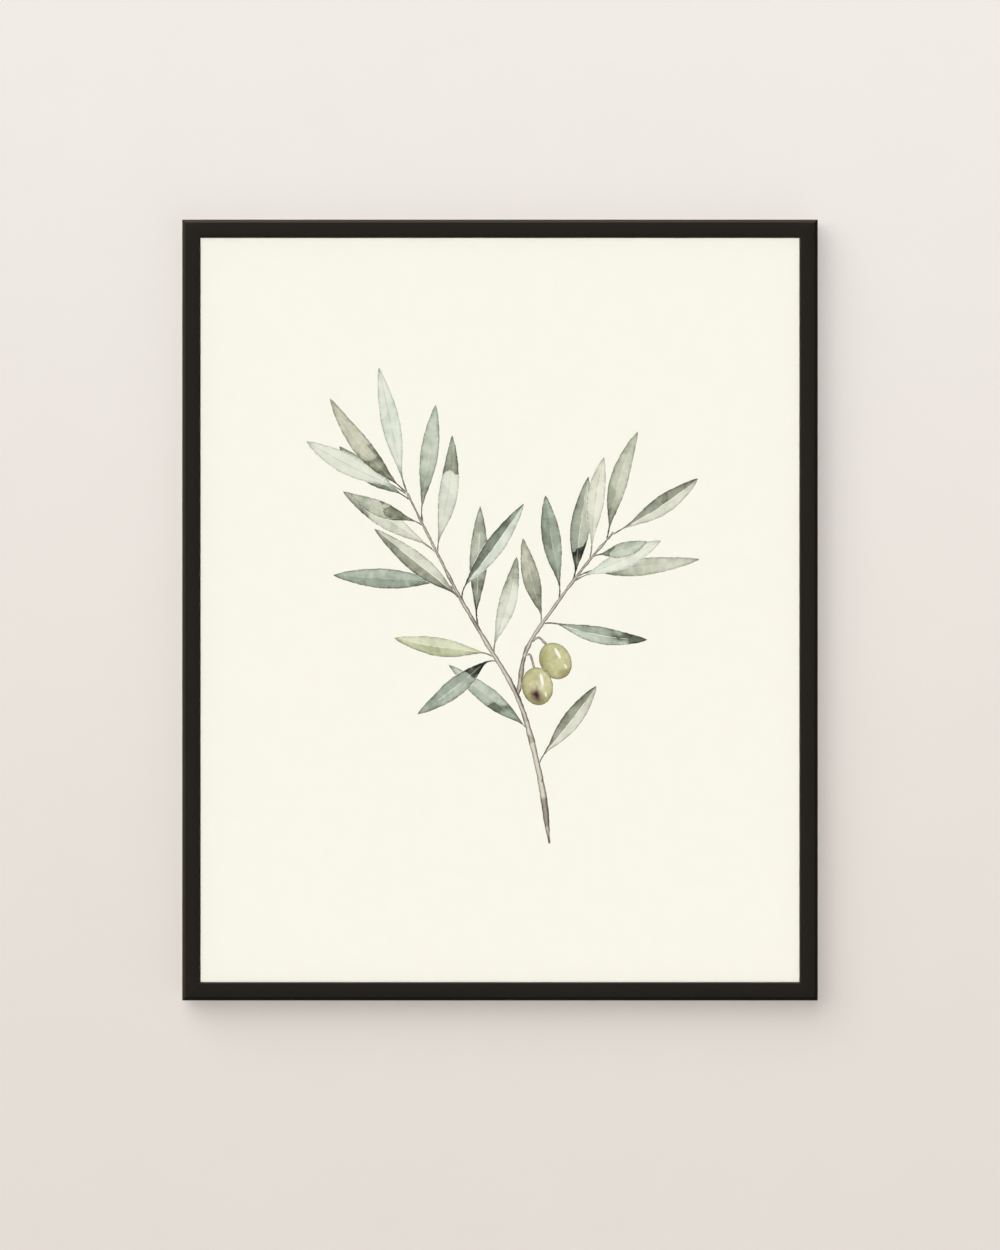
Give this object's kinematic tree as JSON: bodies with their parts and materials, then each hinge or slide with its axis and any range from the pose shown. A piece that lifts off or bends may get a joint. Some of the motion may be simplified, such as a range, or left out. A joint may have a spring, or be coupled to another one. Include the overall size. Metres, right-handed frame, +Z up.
{
  "type": "framed botanical print",
  "caption": "Wall-hung picture frame of slim black mitred wood with a glazed watercolour print of an olive sprig, turn buttons and a sawtooth hanger at the back.",
  "frame": {"origin": "flat root of the hanger's middle notch, where the wall's nail carries the frame", "axes": "+X to the right of someone facing the picture, +Y back to the wall, +Z up"},
  "size_m": [0.424, 0.0196, 0.521],
  "materials": {
    "black_painted_wood": "satin",
    "clear_glass": "gloss",
    "art_paper": "matte",
    "foam_board": "matte",
    "hardboard": "matte",
    "zinc_plated_steel": "satin",
    "brassed_steel": "satin",
    "bright_steel": "satin",
    "grey_felt": "matte"
  },
  "bodies": {
    "frame": {"art_print": "art_paper", "bottom_rail": "black_painted_wood", "corner_nail_bottom": "bright_steel", "corner_nail_left": "bright_steel", "corner_nail_right": "bright_steel", "corner_nail_top": "bright_steel", "felt_pad_left": "grey_felt", "felt_pad_right": "grey_felt", "foam_board": "foam_board", "glass": "clear_glass", "hanger_screw_left": "brassed_steel", "hanger_screw_right": "brassed_steel", "hardboard_back": "hardboard", "left_rail": "black_painted_wood", "right_rail": "black_painted_wood", "sawtooth_hanger": "brassed_steel", "top_rail": "black_painted_wood", "turn_screw_bottom_left": "zinc_plated_steel", "turn_screw_bottom_right": "zinc_plated_steel", "turn_screw_left_lower": "zinc_plated_steel", "turn_screw_left_upper": "zinc_plated_steel", "turn_screw_right_lower": "zinc_plated_steel", "turn_screw_right_upper": "zinc_plated_steel", "turn_screw_top_left": "zinc_plated_steel", "turn_screw_top_right": "zinc_plated_steel"},
    "button_left_upper": {"turn_button_left_upper": "zinc_plated_steel"},
    "button_left_lower": {"turn_button_left_lower": "zinc_plated_steel"},
    "button_right_upper": {"turn_button_right_upper": "zinc_plated_steel"},
    "button_right_lower": {"turn_button_right_lower": "zinc_plated_steel"},
    "button_top_left": {"turn_button_top_left": "zinc_plated_steel"},
    "button_top_right": {"turn_button_top_right": "zinc_plated_steel"},
    "button_bottom_left": {"turn_button_bottom_left": "zinc_plated_steel"},
    "button_bottom_right": {"turn_button_bottom_right": "zinc_plated_steel"}
  },
  "joints": [
    {"name": "turn_left_upper", "type": "hinge", "parent": "frame", "child": "button_left_upper", "pos_m": [-0.208, -0.002, -0.1231], "axis": [0, 1, 0], "continuous": true},
    {"name": "turn_left_lower", "type": "hinge", "parent": "frame", "child": "button_left_lower", "pos_m": [-0.208, -0.002, -0.3731], "axis": [0, 1, 0], "continuous": true},
    {"name": "turn_right_upper", "type": "hinge", "parent": "frame", "child": "button_right_upper", "pos_m": [0.208, -0.002, -0.1231], "axis": [0, 1, 0], "continuous": true},
    {"name": "turn_right_lower", "type": "hinge", "parent": "frame", "child": "button_right_lower", "pos_m": [0.208, -0.002, -0.3731], "axis": [0, 1, 0], "continuous": true},
    {"name": "turn_top_left", "type": "hinge", "parent": "frame", "child": "button_top_left", "pos_m": [-0.11, -0.002, 0.0084], "axis": [0, 1, 0], "continuous": true},
    {"name": "turn_top_right", "type": "hinge", "parent": "frame", "child": "button_top_right", "pos_m": [0.11, -0.002, 0.0084], "axis": [0, 1, 0], "continuous": true},
    {"name": "turn_bottom_left", "type": "hinge", "parent": "frame", "child": "button_bottom_left", "pos_m": [-0.11, -0.002, -0.5046], "axis": [0, 1, 0], "continuous": true},
    {"name": "turn_bottom_right", "type": "hinge", "parent": "frame", "child": "button_bottom_right", "pos_m": [0.11, -0.002, -0.5046], "axis": [0, 1, 0], "continuous": true}
  ]
}
